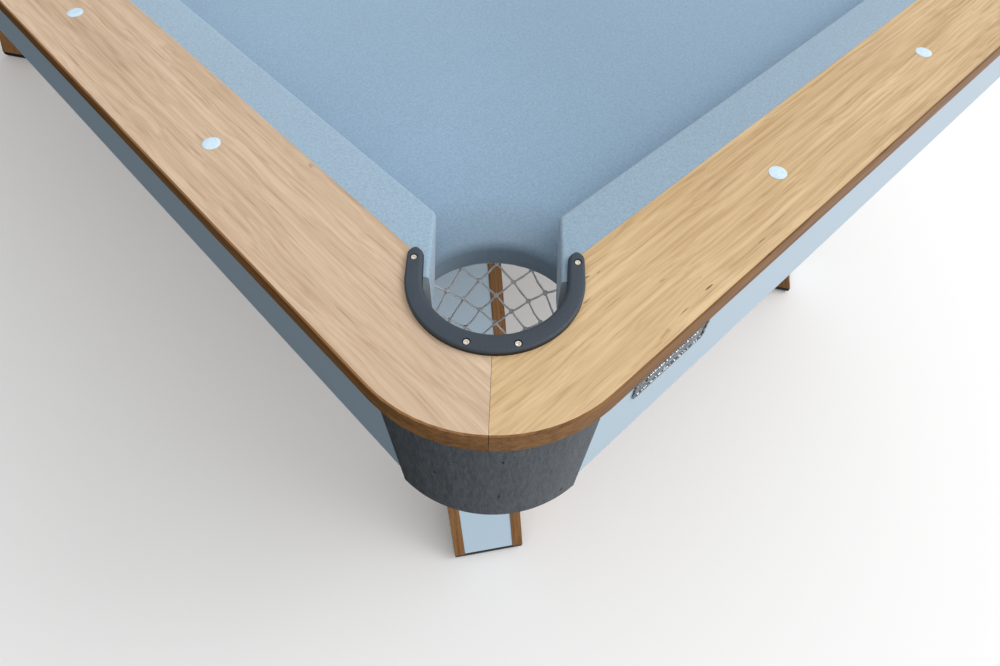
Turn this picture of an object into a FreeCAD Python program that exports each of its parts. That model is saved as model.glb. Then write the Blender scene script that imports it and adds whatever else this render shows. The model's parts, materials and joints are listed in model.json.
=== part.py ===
import FreeCAD, Part
import math
import os

# Pool table with six drop pockets and splayed box legs.
# Millimetres.  Origin on the floor under the middle of the table.
# X runs across the table, Y along it, Z up.  "front" is the -Y end, "left" the -X side.

V = FreeCAD.Vector

# ---------------------------------------------------------------- driving dimensions
TABLE_W = 1126.0          # over the rails, across
TABLE_L = 2110.0          # over the rails, along
RAIL_TOP = 750.0          # height of the wooden rail top above the floor
RAIL_W = 88.0             # visible width of the wooden rail top
RAIL_T = 19.0             # thickness of the rail board
CORNER_R = 105.0          # rounded outer corner of the rails
BAND_T = 1.6              # thickness of the oak edge band
JOINT = 0.15              # open line at each rail joint

NOSE = 123.0              # outer edge of the table to the cushion nose
NOSE_DROP = 4.5           # rail top down to the middle of the nose
CUSHION_LIP = 0.4         # rail top down to the back edge of the cushion
CLOTH_TOP = 711.0         # playing surface
CLOTH_T = 1.0
BED_T = 20.0
BED_ROUND = 6.0           # rounded rim of the bed board at each pocket
BED_EDGE = 26.0           # outer edge of the table to the edge of the bed

APRON_IN = 8.0            # overhang of the rail past the apron
APRON_T = 16.0
APRON_DROP = 127.0        # rail top down to the bottom of the apron
BLOCK_DROP = 143.0        # rail top down to the bottom of the corner block
BLOCK_IN = 7.0            # overhang of the rail past the corner block
BLOCK_R = 94.0
BLOCK_T = 17.0
BLOCK_TOP_REACH = 112.0   # where the corner block meets the apron, at the top
BLOCK_LOW_REACH = 98.0    # and at the bottom

CORNER_POCKET = 111.7     # pocket centre from both outer edges
SIDE_POCKET = 84.0        # side pocket centre from the outer edge
LINER_IN = 46.0           # inner radius of the pocket liner
LINER_OUT = 59.5
LINER_T = 4.5
SKIRT_T = 4.0
SKIRT_DROP = 20.0
CORNER_SKIRT_ARM = 0.5
SIDE_SKIRT_ARM = 1.0
SCREW_HEAD_R = 2.0
SCREW_HEAD_H = 1.4
SCREW_R = 1.2
SCREW_L = 15.0
SCREW_GAP = 0.1
SCREW_SINK = 0.5          # screw head below the top of the liner
RECESS_W = 0.5            # cross recess in the screw head
RECESS_L = 2.4
RECESS_H = 0.7
SCREW_LINE_OUT = 2.0      # screws outside the middle of the liner
SCREW_BACK_TURN = 17.0    # degrees, two screws each side of the liner's back
THROAT_R = 50.4           # cut in the rail board and sub-rail
CORNER_ARM = 17.0         # straight run of the liner arm past the pocket centre
SIDE_ARM = 4.0
CORNER_BED_R = 66.0       # bed cut-outs
SIDE_BED_R = 54.0
CORNER_JAW = 62.0         # offset of the 45 degree cushion ends
SIDE_JAW = 51.0           # half opening between the side jaws at the rail
SIDE_JAW_SPLAY = 12.0     # extra half opening at the nose
FACING_FROM = 1.0         # covered facing strip at each corner jaw, from the pocket centre
FACING_IN = 45.2          # its inner face from the pocket's centre line
FACING_OUT = 49.8

NET_BOTTOM = 468.0
NET_T = 2.0
RING_WIRE = 2.5           # radius of the net ring's wire
BALL_GAP = 0.5

SIGHT_R = 7.0
SIGHT_DEPTH = 2.0
SIGHT_PROUD = 0.2
SIGHT_IN = 43.0           # sight centre from the outer edge
SHORT_SIGHT = 338.0       # first end-rail sight from the corner
LONG_SIGHT = 354.0        # first side-rail sight from the corner
LONG_PITCH = 233.67       # step between the side-rail sights

LEG_W = 108.0             # horizontal section of a leg
LEG_D = 100.0
LEG_SIDE_T = 16.0
LEG_PANEL_T = 14.0
PANEL_SET_BACK = 1.5
LEG_TURN = -32.8          # degrees, front face of the front left leg from X
LEG_FOOT = (92.6, 168.4)  # its outer front corner at the floor, from the table's corner
LEG_LEAN = (139.0, 232.0)  # how far it moves inwards from the floor up to LEG_TOP
LEG_TOP = 625.0
FOOT_T = 12.0
FOOT_GAP = 0.3
STEM_R = 5.0
STEM_GAP = 0.3
STEM_H = 34.0
END_BLOCK_H = 45.0
FOOT_BEVEL = 4.0          # chamfer under the foot plate
FOOT_BEVEL_H = 5.0
FOOT_INSET = 0.5          # foot plate inside the leg's outline

PLATE_T = 20.0            # board on top of each leg
PLATE_HALF_W = 110.0
PLATE_HALF_L = 100.0
BEAM_W = 45.0
LEG_TOP_ACROSS = 75.0     # middle of the leg's top from its outer corner
LEG_TOP_ALONG = 20.0

BADGE_FROM = 146.0        # blank plate on the front apron, from the left edge
BADGE_TO = 227.0
BADGE_LOW = 682.0
BADGE_HIGH = 712.0
BADGE_T = 1.5
BADGE_RIM = 3.0
BADGE_SINK = 0.6          # field below the rim
BADGE_BAR_IN = 12.0       # plain bar in the middle of the field
BADGE_BAR_H = 6.0

HW = TABLE_W / 2.0
HL = TABLE_L / 2.0
RAIL_LOW = RAIL_TOP - RAIL_T
BED_TOP = CLOTH_TOP - CLOTH_T
BED_LOW = BED_TOP - BED_T
APRON_LOW = RAIL_TOP - APRON_DROP
BEAM_LOW = LEG_TOP + PLATE_T
INSIDE = APRON_IN + APRON_T        # outer edge of the table to the apron's inner face

CORNERS = {"front_left": (-1, -1), "front_right": (1, -1), "back_left": (-1, 1), "back_right": (1, 1)}
SIDES = {"left": -1, "right": 1}


# ---------------------------------------------------------------- helpers
def box(x0, x1, y0, y1, z0, z1):
    return Part.makeBox(x1 - x0, y1 - y0, z1 - z0, V(x0, y0, z0))


def cylinder(x, y, radius, z0, z1):
    return Part.makeCylinder(radius, z1 - z0, V(x, y, z0))


def face_of(points, z):
    corners = [V(x, y, z) for x, y in points]
    return Part.Face(Part.makePolygon(corners + [corners[0]]))


def prism(points, z0, z1):
    return face_of(points, z0).extrude(V(0, 0, z1 - z0))


def to_corner(shape, sx, sy):
    """A shape made for the front left quarter, moved to another quarter."""
    if sx > 0:
        shape = shape.mirror(V(0, 0, 0), V(1, 0, 0))
    if sy > 0:
        shape = shape.mirror(V(0, 0, 0), V(0, 1, 0))
    return shape


def save(name, solids):
    shape = solids[0] if len(solids) == 1 else Part.makeCompound(solids)
    for solid in shape.Solids:
        if not solid.isValid() or not solid.isClosed() or solid.Volume <= 0:
            raise RuntimeError(name + " has a bad solid")
    shape.exportStep("parts/" + name + ".step")
    print(name, len(shape.Solids), round(shape.Volume / 1000.0, 1), "cm3")


def rounded_plate(inset, radius, z0, z1):
    plate = box(-HW + inset, HW - inset, -HL + inset, HL - inset, z0, z1)
    upright = [e for e in plate.Edges if abs(e.tangentAt(e.FirstParameter).z) > 0.9]
    return plate.makeFillet(radius, upright)


def rail_ring(outer, inner, z0, z1):
    """A closed frame under the rails, between two distances from the outer edge."""
    hole = box(-HW + inner, HW - inner, -HL + inner, HL - inner, z0 - 1, z1 + 1)
    return rounded_plate(outer, CORNER_R - outer, z0, z1).cut(hole)


# ---------------------------------------------------------------- pockets
def pockets():
    """Every pocket: name, centre, direction towards the bed, and whether it is a corner."""
    found = []
    for name, (sx, sy) in CORNERS.items():
        centre = (sx * (HW - CORNER_POCKET), sy * (HL - CORNER_POCKET))
        found.append((name, centre, math.degrees(math.atan2(-sy, -sx)), True))
    for name, sx in SIDES.items():
        found.append(("side_" + name, (sx * (HW - SIDE_POCKET), 0.0), 0.0 if sx < 0 else 180.0, False))
    return found


def placed(shape, centre, angle):
    """A shape made round the origin with the bed towards +X, put at a pocket."""
    shape = shape.copy()
    shape.rotate(V(0, 0, 0), V(0, 0, 1), angle)
    shape.translate(V(centre[0], centre[1], 0))
    return shape


def u_shape(radius, arm, z0, z1):
    """A disc with a straight slot of the same width running out along +X."""
    disc = cylinder(0, 0, radius, z0, z1)
    return disc.fuse(box(0, arm, -radius, radius, z0, z1)).removeSplitter()


def throat(centre, angle, z0, z1):
    return placed(u_shape(THROAT_R, 2.0 * LINER_OUT, z0, z1), centre, angle)


def throats(z0, z1):
    return [throat(centre, angle, z0, z1) for _, centre, angle, _ in pockets()]


def bed_cut(centre, is_corner, trim, z0, z1):
    """The bed is notched out to its edge and rounded on the playing side."""
    radius = (CORNER_BED_R if is_corner else SIDE_BED_R) - trim
    hole = cylinder(centre[0], centre[1], radius, z0, z1)
    far_x = math.copysign(HW, centre[0])
    x0, x1 = sorted((centre[0], far_x))
    if is_corner:
        y0, y1 = sorted((centre[1], math.copysign(HL, centre[1])))
    else:
        y0, y1 = -radius, radius
    return hole.fuse(box(x0, x1, y0, y1, z0, z1))


# ---------------------------------------------------------------- bed
def rim_cutter(centre, angle, radius, rounding, z1):
    """What rounds the top rim of a pocket's arc: the room above a ring laid along it."""
    block = cylinder(0, 0, radius + rounding, z1 - rounding, z1 + 1)
    block = block.cut(Part.makeTorus(radius + rounding, rounding, V(0, 0, z1 - rounding)))
    bed_side = box(0, 2.0 * radius, -2.0 * radius, 2.0 * radius, z1 - rounding, z1 + 1)
    return placed(block.common(bed_side), centre, angle)


def bed_slab(z0, z1, trim, rounding):
    """The bed board's outline between two heights, notched and rounded at the pockets."""
    slab = box(-HW + BED_EDGE, HW - BED_EDGE, -HL + BED_EDGE, HL - BED_EDGE, z0, z1)
    for _, centre, angle, is_corner in pockets():
        radius = (CORNER_BED_R if is_corner else SIDE_BED_R) - trim
        slab = slab.cut(bed_cut(centre, is_corner, trim, z0 - 1, z1 + 1))
        slab = slab.cut(rim_cutter(centre, angle, radius, rounding, z1))
    return slab


def bed_board():
    return bed_slab(BED_LOW, BED_TOP, 0.0, BED_ROUND)


def bed_cloth():
    """Cloth over the whole bed, turned down the rounded wall of every pocket."""
    return bed_slab(BED_LOW, CLOTH_TOP, CLOTH_T, BED_ROUND + CLOTH_T).cut(bed_board())


# ---------------------------------------------------------------- rails
def region(kind, z0, z1):
    """The plan area that belongs to one rail: mitred at the corners, butted at y = 0."""
    deep = 2.0 * CORNER_R
    if kind == "end":
        points = [(-HW - 1 + JOINT, -HL - 1), (HW + 1 - JOINT, -HL - 1),
                  (HW - deep - JOINT, -HL + deep), (-HW + deep + JOINT, -HL + deep)]
    else:
        points = [(-HW - 1, -HL - 1 + JOINT), (-HW + deep, -HL + deep + JOINT),
                  (-HW + deep, -JOINT / 2), (-HW - 1, -JOINT / 2)]
    return prism(points, z0 - 1, z1 + 1)


RAILS = {"front": ("end", -1, -1), "back": ("end", -1, 1),
         "left_front": ("side", -1, -1), "left_back": ("side", -1, 1),
         "right_front": ("side", 1, -1), "right_back": ("side", 1, 1)}


def split_rails(ring, z0, z1):
    """Cut a closed frame into the six rails."""
    return {name: ring.common(to_corner(region(kind, z0, z1), sx, sy))
            for name, (kind, sx, sy) in RAILS.items()}


def sight_places():
    """Three sights on each end rail and six on each long side."""
    spots = []
    for y in (-HL + SIGHT_IN, HL - SIGHT_IN):
        for x in (-HW + SHORT_SIGHT, 0.0, HW - SHORT_SIGHT):
            spots.append((x, y))
    for x in (-HW + SIGHT_IN, HW - SIGHT_IN):
        for step in range(3):
            y = HL - LONG_SIGHT - step * LONG_PITCH
            spots += [(x, y), (x, -y)]
    return spots


def rail_tops():
    ring = rail_ring(BAND_T, RAIL_W, RAIL_LOW, RAIL_TOP)
    cutters = throats(RAIL_LOW - 1, RAIL_TOP + 1)
    cutters += [cylinder(x, y, SIGHT_R, RAIL_TOP - SIGHT_DEPTH, RAIL_TOP + 1) for x, y in sight_places()]
    pilot = RAIL_TOP + LINER_T - SCREW_SINK - SCREW_L
    cutters += [cylinder(x, y, SCREW_R + SCREW_GAP, pilot, RAIL_TOP + 1) for x, y in screw_places()]
    return split_rails(ring.cut(cutters), RAIL_LOW, RAIL_TOP)


def edge_bands():
    outer = rounded_plate(0.0, CORNER_R, RAIL_LOW, RAIL_TOP)
    inner = rounded_plate(BAND_T, CORNER_R - BAND_T, RAIL_LOW - 1, RAIL_TOP + 1)
    return list(split_rails(outer.cut(inner), RAIL_LOW, RAIL_TOP).values())


def sub_rails():
    ring = rail_ring(INSIDE, RAIL_W, CLOTH_TOP, RAIL_LOW)
    ring = ring.cut(throats(CLOTH_TOP - 1, RAIL_LOW + 1))
    return split_rails(ring, CLOTH_TOP, RAIL_LOW)


def cushion_section():
    """Section across the cushion: flat back on the rail, rounded nose, undercut front."""
    z = RAIL_TOP - CUSHION_LIP
    nose = RAIL_TOP - NOSE_DROP
    foot = CLOTH_TOP + 1.0
    back = Part.makePolygon([V(NOSE - 5.0, 0, z - 1.2), V(RAIL_W, 0, z), V(RAIL_W, 0, foot),
                             V(RAIL_W + 8.0, 0, foot), V(NOSE - 2.6, 0, nose - 3.2)])
    tip = Part.Arc(V(NOSE - 2.6, 0, nose - 3.2), V(NOSE, 0, nose), V(NOSE - 5.0, 0, z - 1.2)).toShape()
    return Part.Face(Part.Wire(back.Edges + [tip]))


def facing_strip():
    """Carries the cloth of the jaw on from the end of the left cushion into the throat."""
    unit = math.sqrt(0.5)
    at_rail = (CORNER_POCKET - RAIL_W) * math.sqrt(2.0)   # where the cushion's back crosses the centre line

    def plan(along, aside):
        return (-HW + CORNER_POCKET + (along - aside) * unit, -HL + CORNER_POCKET + (along + aside) * unit)

    points = [plan(FACING_FROM, FACING_IN), plan(FACING_IN - at_rail, FACING_IN),
              plan(FACING_OUT - at_rail, FACING_OUT), plan(FACING_FROM, FACING_OUT)]
    return prism(points, CLOTH_TOP + 1.0, RAIL_TOP - CUSHION_LIP)


def side_cushion():
    bar = cushion_section().extrude(V(0, HL, 0))
    bar.translate(V(-HW, -HL, 0))
    z0, z1 = CLOTH_TOP, RAIL_TOP + 1
    deep = 2.0 * NOSE
    corner = prism([(-HW, -HL), (-HW + deep, -HL), (-HW + deep, -HL + deep + CORNER_JAW),
                    (-HW, -HL + CORNER_JAW)], z0, z1)
    nose_half = SIDE_JAW + SIDE_JAW_SPLAY
    slope = SIDE_JAW_SPLAY / (NOSE - RAIL_W)
    wide = nose_half + slope * 20.0
    middle = prism([(-HW + RAIL_W - 1, 1), (-HW + NOSE + 20, 1), (-HW + NOSE + 20, -wide),
                    (-HW + RAIL_W - 1, -SIDE_JAW)], z0, z1)
    return bar.cut([corner, middle]).fuse(facing_strip()).removeSplitter()


def end_cushion():
    bar = cushion_section().extrude(V(0, TABLE_W, 0))
    bar.rotate(V(0, 0, 0), V(0, 0, 1), 90)
    bar.translate(V(HW, -HL, 0))
    z0, z1 = CLOTH_TOP, RAIL_TOP + 1
    deep = 2.0 * NOSE
    corner = prism([(-HW, -HL), (-HW, -HL + deep), (-HW + deep + CORNER_JAW, -HL + deep),
                    (-HW + CORNER_JAW, -HL)], z0, z1)
    strip = swap_corner(facing_strip())
    bar = bar.cut([corner, to_corner(corner, 1, -1)])
    return bar.fuse([strip, to_corner(strip, 1, -1)]).removeSplitter()


# ---------------------------------------------------------------- pocket fittings
def screw_spots(is_corner):
    """Four screws through each liner, round the origin with the bed towards +X."""
    radius = (LINER_IN + LINER_OUT) / 2 + SCREW_LINE_OUT
    arm = CORNER_ARM - 3.0 if is_corner else SIDE_ARM - 2.0
    spots = [(arm, radius), (arm, -radius)]
    for degrees in (180.0 - SCREW_BACK_TURN, 180.0 + SCREW_BACK_TURN):
        spots.append((radius * math.cos(math.radians(degrees)), radius * math.sin(math.radians(degrees))))
    return spots


def screw_places():
    places = []
    for _, centre, angle, is_corner in pockets():
        turn = math.radians(angle)
        for x, y in screw_spots(is_corner):
            places.append((centre[0] + x * math.cos(turn) - y * math.sin(turn),
                           centre[1] + x * math.sin(turn) + y * math.cos(turn)))
    return places


def horseshoe(inner, outer, arm, z0, z1):
    """Half ring away from the bed with two straight arms along +X."""
    ring = cylinder(0, 0, outer, z0, z1).cut(cylinder(0, 0, inner, z0 - 1, z1 + 1))
    shape = ring.common(box(-outer - 1, 0, -outer - 1, outer + 1, z0, z1))
    arms = [box(0, arm, -outer, -inner, z0, z1), box(0, arm, inner, outer, z0, z1)]
    return shape.fuse(arms)


def liner(centre, angle, is_corner):
    """Horseshoe flange on the rail with a skirt down inside the throat."""
    arm = CORNER_ARM if is_corner else SIDE_ARM
    mid = (LINER_IN + LINER_OUT) / 2
    tip = (LINER_OUT - LINER_IN) / 2
    top = RAIL_TOP + LINER_T
    flange = horseshoe(LINER_IN, LINER_OUT, arm, RAIL_TOP, top)
    flange = flange.fuse([cylinder(arm, side * mid, tip, RAIL_TOP, top) for side in (-1, 1)])
    skirt_arm = CORNER_SKIRT_ARM if is_corner else SIDE_SKIRT_ARM
    skirt = horseshoe(LINER_IN, LINER_IN + SKIRT_T, skirt_arm, RAIL_TOP - SKIRT_DROP, RAIL_TOP)
    shape = flange.fuse(skirt).removeSplitter()
    for x, y in screw_spots(is_corner):
        hole = cylinder(x, y, SCREW_R + SCREW_GAP, RAIL_TOP - 1, top + 1)
        sink = Part.makeCone(SCREW_R + SCREW_GAP, SCREW_HEAD_R + SCREW_GAP, SCREW_HEAD_H,
                             V(x, y, top - SCREW_SINK - SCREW_HEAD_H))
        dimple = cylinder(x, y, SCREW_HEAD_R + SCREW_GAP, top - SCREW_SINK, top + 1)
        shape = shape.cut([hole, sink, dimple])
    return placed(shape, centre, angle)


def liner_screw(x, y):
    """Countersunk screw with a cross recess."""
    face = RAIL_TOP + LINER_T - SCREW_SINK
    head = Part.makeCone(SCREW_R, SCREW_HEAD_R, SCREW_HEAD_H, V(x, y, face - SCREW_HEAD_H))
    screw = head.fuse(cylinder(x, y, SCREW_R, face - SCREW_L, face - SCREW_HEAD_H))
    for wide, long in ((RECESS_W, RECESS_L), (RECESS_L, RECESS_W)):
        screw = screw.cut(box(x - wide / 2, x + wide / 2, y - long / 2, y + long / 2,
                              face - RECESS_H, face + 1))
    return screw.removeSplitter()


def net_ring(centre, is_corner):
    radius = ring_radius(is_corner)
    return Part.makeTorus(radius, RING_WIRE, V(centre[0], centre[1], BED_LOW - 6.0))


def ring_radius(is_corner):
    return CORNER_BED_R + 6.5 if is_corner else SIDE_BED_R + 1.0


def net_clips(centre, angle, is_corner):
    """Two blocks and a narrow middle hook under the bed that grip the ring."""
    clips = []
    radius = ring_radius(is_corner)
    for turn, half in ((-62.0, 7.0), (0.0, 2.5), (62.0, 7.0)):
        clip = box(radius - 4.5, radius + 11.0, -half, half, BED_LOW - 11.0, BED_LOW)
        clip = clip.cut(Part.makeTorus(radius, RING_WIRE + 0.05, V(0, 0, BED_LOW - 6.0)))
        clip = clip.cut(cylinder(0, 0, radius - 2.0, BED_LOW - 12.0, BED_LOW - 3.0))
        clips.append(placed(clip, centre, angle + turn))
    return clips


def net(centre, is_corner):
    """Bag of the net: a thin open cup, wide at the ring and rounded at the bottom."""
    rim = ring_radius(is_corner) - RING_WIRE - BALL_GAP
    low = rim - (8.0 if is_corner else 4.0)
    top = BED_LOW - 3.5

    def side(trim):
        r_low = low - trim
        corner = 34.0 - trim
        z = NET_BOTTOM + trim
        arc_mid = math.radians(45.0)
        return [V(rim - trim, 0, top), V(r_low, 0, z + corner),
                V(r_low - corner * (1 - math.cos(arc_mid)), 0, z + corner * (1 - math.sin(arc_mid))),
                V(r_low - corner, 0, z), V(0, 0, z)]

    def outline(p):
        arc = Part.Arc(p[1], p[2], p[3]).toShape()
        return [Part.makeLine(p[0], p[1]), arc, Part.makeLine(p[3], p[4])]

    outer, inner = side(0.0), side(NET_T)
    edges = outline(outer) + outline(inner)
    edges += [Part.makeLine(outer[0], inner[0]), Part.makeLine(outer[4], inner[4])]
    wire = Part.Wire(Part.__sortEdges__(edges))
    bag = Part.Face(wire).revolve(V(0, 0, 0), V(0, 0, 1), 360)
    bag = Part.Solid(bag.Shells[0]) if not bag.Solids else bag.Solids[0]
    bag.translate(V(centre[0], centre[1], 0))
    return bag


# ---------------------------------------------------------------- aprons and corners
def slanted(reach_top, reach_low, z0, z1, grow):
    """Everything nearer the corner than a plane that slants in towards the bottom."""
    reach0 = reach_low + grow
    reach1 = reach_top + grow
    wire_points = [V(-HW - 5, -HL - 5, z0), V(-HW - 5, -HL + reach0, z0),
                   V(-HW - 5, -HL + reach1, z1), V(-HW - 5, -HL - 5, z1)]
    face = Part.Face(Part.makePolygon(wire_points + [wire_points[0]]))
    return face.extrude(V(HW, 0, 0))


def swap_corner(shape):
    """Exchange the two directions at the front left corner."""
    shape = shape.copy()
    shape.translate(V(HW, HL, 0))
    shape = shape.mirror(V(0, 0, 0), V(1, -1, 0))
    shape.translate(V(-HW, -HL, 0))
    return shape


def corner_block():
    """Rounded block under each corner, ends slanting in towards the bottom."""
    z0, z1 = RAIL_TOP - BLOCK_DROP, RAIL_LOW
    centre = BLOCK_IN + BLOCK_R
    reach = BLOCK_TOP_REACH + 5

    def plan(inset, grow):
        radius = centre - inset
        corner = cylinder(-HW + centre, -HL + centre, radius, z0 - grow, z1 + grow)
        arm_a = box(-HW + inset, -HW + centre, -HL + centre, -HL + reach + grow, z0 - grow, z1 + grow)
        arm_b = box(-HW + centre, -HW + reach + grow, -HL + inset, -HL + centre, z0 - grow, z1 + grow)
        core = box(-HW + centre, -HW + reach + grow, -HL + centre, -HL + reach + grow, z0 - grow, z1 + grow)
        return corner.fuse([arm_a, arm_b, core])

    shell = plan(BLOCK_IN, 0.0).cut(plan(BLOCK_IN + BLOCK_T, 1.0))
    keep = slanted(BLOCK_TOP_REACH, BLOCK_LOW_REACH, z0, z1, 0.0)
    shell = shell.common(keep).common(swap_corner(keep))
    return shell.removeSplitter()


def side_apron():
    board = box(-HW + APRON_IN, -HW + INSIDE, -HL + 30, HL - 30, APRON_LOW, RAIL_LOW)
    cutter = slanted(BLOCK_TOP_REACH, BLOCK_LOW_REACH, RAIL_TOP - BLOCK_DROP, RAIL_LOW, 0.4)
    return board.cut([cutter, to_corner(cutter, -1, 1)])


def end_apron():
    board = box(-HW + 30, HW - 30, -HL + APRON_IN, -HL + INSIDE, APRON_LOW, RAIL_LOW)
    cutter = slanted(BLOCK_TOP_REACH, BLOCK_LOW_REACH, RAIL_TOP - BLOCK_DROP, RAIL_LOW, 0.4)
    cutter = swap_corner(cutter)
    return board.cut([cutter, to_corner(cutter, 1, -1)])


def nameplate():
    """Blank plate with a raised rim and bar, no lettering."""
    x0, x1 = -HW + BADGE_FROM, -HW + BADGE_TO
    z0, z1 = BADGE_LOW, BADGE_HIGH
    y = -HL + APRON_IN
    field_y = y - BADGE_T + BADGE_SINK
    middle = (z0 + z1) / 2
    plate = box(x0, x1, y - BADGE_T, y, z0, z1)
    upright = [e for e in plate.Edges if abs(e.tangentAt(e.FirstParameter).y) > 0.9]
    plate = plate.makeFillet(4.0, upright)
    field = box(x0 + BADGE_RIM, x1 - BADGE_RIM, y - BADGE_T - 1, field_y, z0 + BADGE_RIM, z1 - BADGE_RIM)
    bar = box(x0 + BADGE_BAR_IN, x1 - BADGE_BAR_IN, y - BADGE_T, field_y + BADGE_SINK / 2,
              middle - BADGE_BAR_H / 2, middle + BADGE_BAR_H / 2)
    return plate.cut(field).fuse(bar).removeSplitter()


# ---------------------------------------------------------------- frame
LEG_Y = HL - LEG_FOOT[1] - LEG_LEAN[1] - LEG_TOP_ALONG      # middle of the leg tops
LEG_X = HW - LEG_FOOT[0] - LEG_LEAN[0] - LEG_TOP_ACROSS


def long_beams():
    return [box(s * LEG_X - BEAM_W / 2, s * LEG_X + BEAM_W / 2, -HL + INSIDE, HL - INSIDE, BEAM_LOW, BED_LOW)
            for s in (-1, 1)]


def cross_beams():
    """Between the long beams, and stubs out to the aprons clear of the side pockets."""
    beams = []
    inner = LEG_X - BEAM_W / 2
    for y in (-LEG_Y, -LEG_Y / 2, 0.0, LEG_Y / 2, LEG_Y):
        beams.append(box(-inner, inner, y - BEAM_W / 2, y + BEAM_W / 2, BEAM_LOW, BED_LOW))
    for y in (-LEG_Y, -LEG_Y / 2, LEG_Y / 2, LEG_Y):
        stub = box(-HW + INSIDE, -LEG_X - BEAM_W / 2, y - BEAM_W / 2, y + BEAM_W / 2, BEAM_LOW, BED_LOW)
        beams += [stub, to_corner(stub, 1, -1)]
    return beams


def mount_plates():
    plate = box(-LEG_X - PLATE_HALF_W, -LEG_X + PLATE_HALF_W, -LEG_Y - PLATE_HALF_L, -LEG_Y + PLATE_HALF_L,
                LEG_TOP, BEAM_LOW)
    return [to_corner(plate, sx, sy) for sx, sy in CORNERS.values()]


# ---------------------------------------------------------------- legs
def leg_axes():
    """Unit vectors across the front face and inwards, and the front corner at the floor."""
    turn = math.radians(LEG_TURN)
    across = V(math.cos(turn), math.sin(turn), 0)
    inward = V(-math.sin(turn), math.cos(turn), 0)
    return across, inward, V(-HW + LEG_FOOT[0], -HL + LEG_FOOT[1], 0)


def leg_slice(a0, a1, d0, d1, z0, z1):
    """A board of the front left leg: a rectangle of its level section, leaned between two heights."""
    across, inward, start = leg_axes()
    lean = V(LEG_LEAN[0], LEG_LEAN[1], LEG_TOP) * (1.0 / LEG_TOP)
    base = start + lean * z0
    corners = [base + across * a + inward * d for a, d in ((a0, d0), (a1, d0), (a1, d1), (a0, d1))]
    face = Part.Face(Part.makePolygon(corners + [corners[0]]))
    return face.extrude(lean * (z1 - z0))


def leg_sides():
    near = leg_slice(0, LEG_SIDE_T, 0, LEG_D, FOOT_T, LEG_TOP)
    far = leg_slice(LEG_W - LEG_SIDE_T, LEG_W, 0, LEG_D, FOOT_T, LEG_TOP)
    return [near, far]


def leg_panels():
    a0, a1 = LEG_SIDE_T, LEG_W - LEG_SIDE_T
    front = leg_slice(a0, a1, PANEL_SET_BACK, PANEL_SET_BACK + LEG_PANEL_T, FOOT_T, LEG_TOP)
    back = leg_slice(a0, a1, LEG_D - PANEL_SET_BACK - LEG_PANEL_T, LEG_D - PANEL_SET_BACK, FOOT_T, LEG_TOP)
    return [front, back]


def foot_centre():
    across, inward, start = leg_axes()
    lean = V(LEG_LEAN[0], LEG_LEAN[1], LEG_TOP) * (1.0 / LEG_TOP)
    return start + lean * FOOT_T + across * (LEG_W / 2) + inward * (LEG_D / 2)


def leg_core(z0, z1):
    inset = PANEL_SET_BACK + LEG_PANEL_T
    return leg_slice(LEG_SIDE_T, LEG_W - LEG_SIDE_T, inset, LEG_D - inset, z0, z1)


def base_block():
    """Block in the bottom of the leg with the bore that the foot's stem runs in."""
    middle = foot_centre()
    bore = cylinder(middle.x, middle.y, STEM_R + STEM_GAP, FOOT_T - 1, FOOT_T + STEM_H + 3)
    return leg_core(FOOT_T, FOOT_T + END_BLOCK_H).cut(bore)


def top_block():
    return leg_core(LEG_TOP - END_BLOCK_H, LEG_TOP)


def levelling_foot():
    """Black foot plate, bevelled below, on a stem."""
    across, inward, _ = leg_axes()
    middle = foot_centre()

    def outline(trim, z):
        half_w, half_d = LEG_W / 2 - trim, LEG_D / 2 - trim
        centre = V(middle.x, middle.y, z)
        corners = [centre + across * (a * half_w) + inward * (d * half_d)
                   for a, d in ((-1, -1), (1, -1), (1, 1), (-1, 1))]
        return Part.makePolygon(corners + [corners[0]])

    top = FOOT_T - FOOT_GAP
    bevel = Part.makeLoft([outline(FOOT_BEVEL, 0.0), outline(FOOT_INSET, FOOT_BEVEL_H)], True, True)
    slab = Part.Face(outline(FOOT_INSET, FOOT_BEVEL_H)).extrude(V(0, 0, top - FOOT_BEVEL_H))
    stem = cylinder(middle.x, middle.y, STEM_R, top - 1, FOOT_T + STEM_H)
    return bevel.fuse([slab, stem]).removeSplitter()


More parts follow.
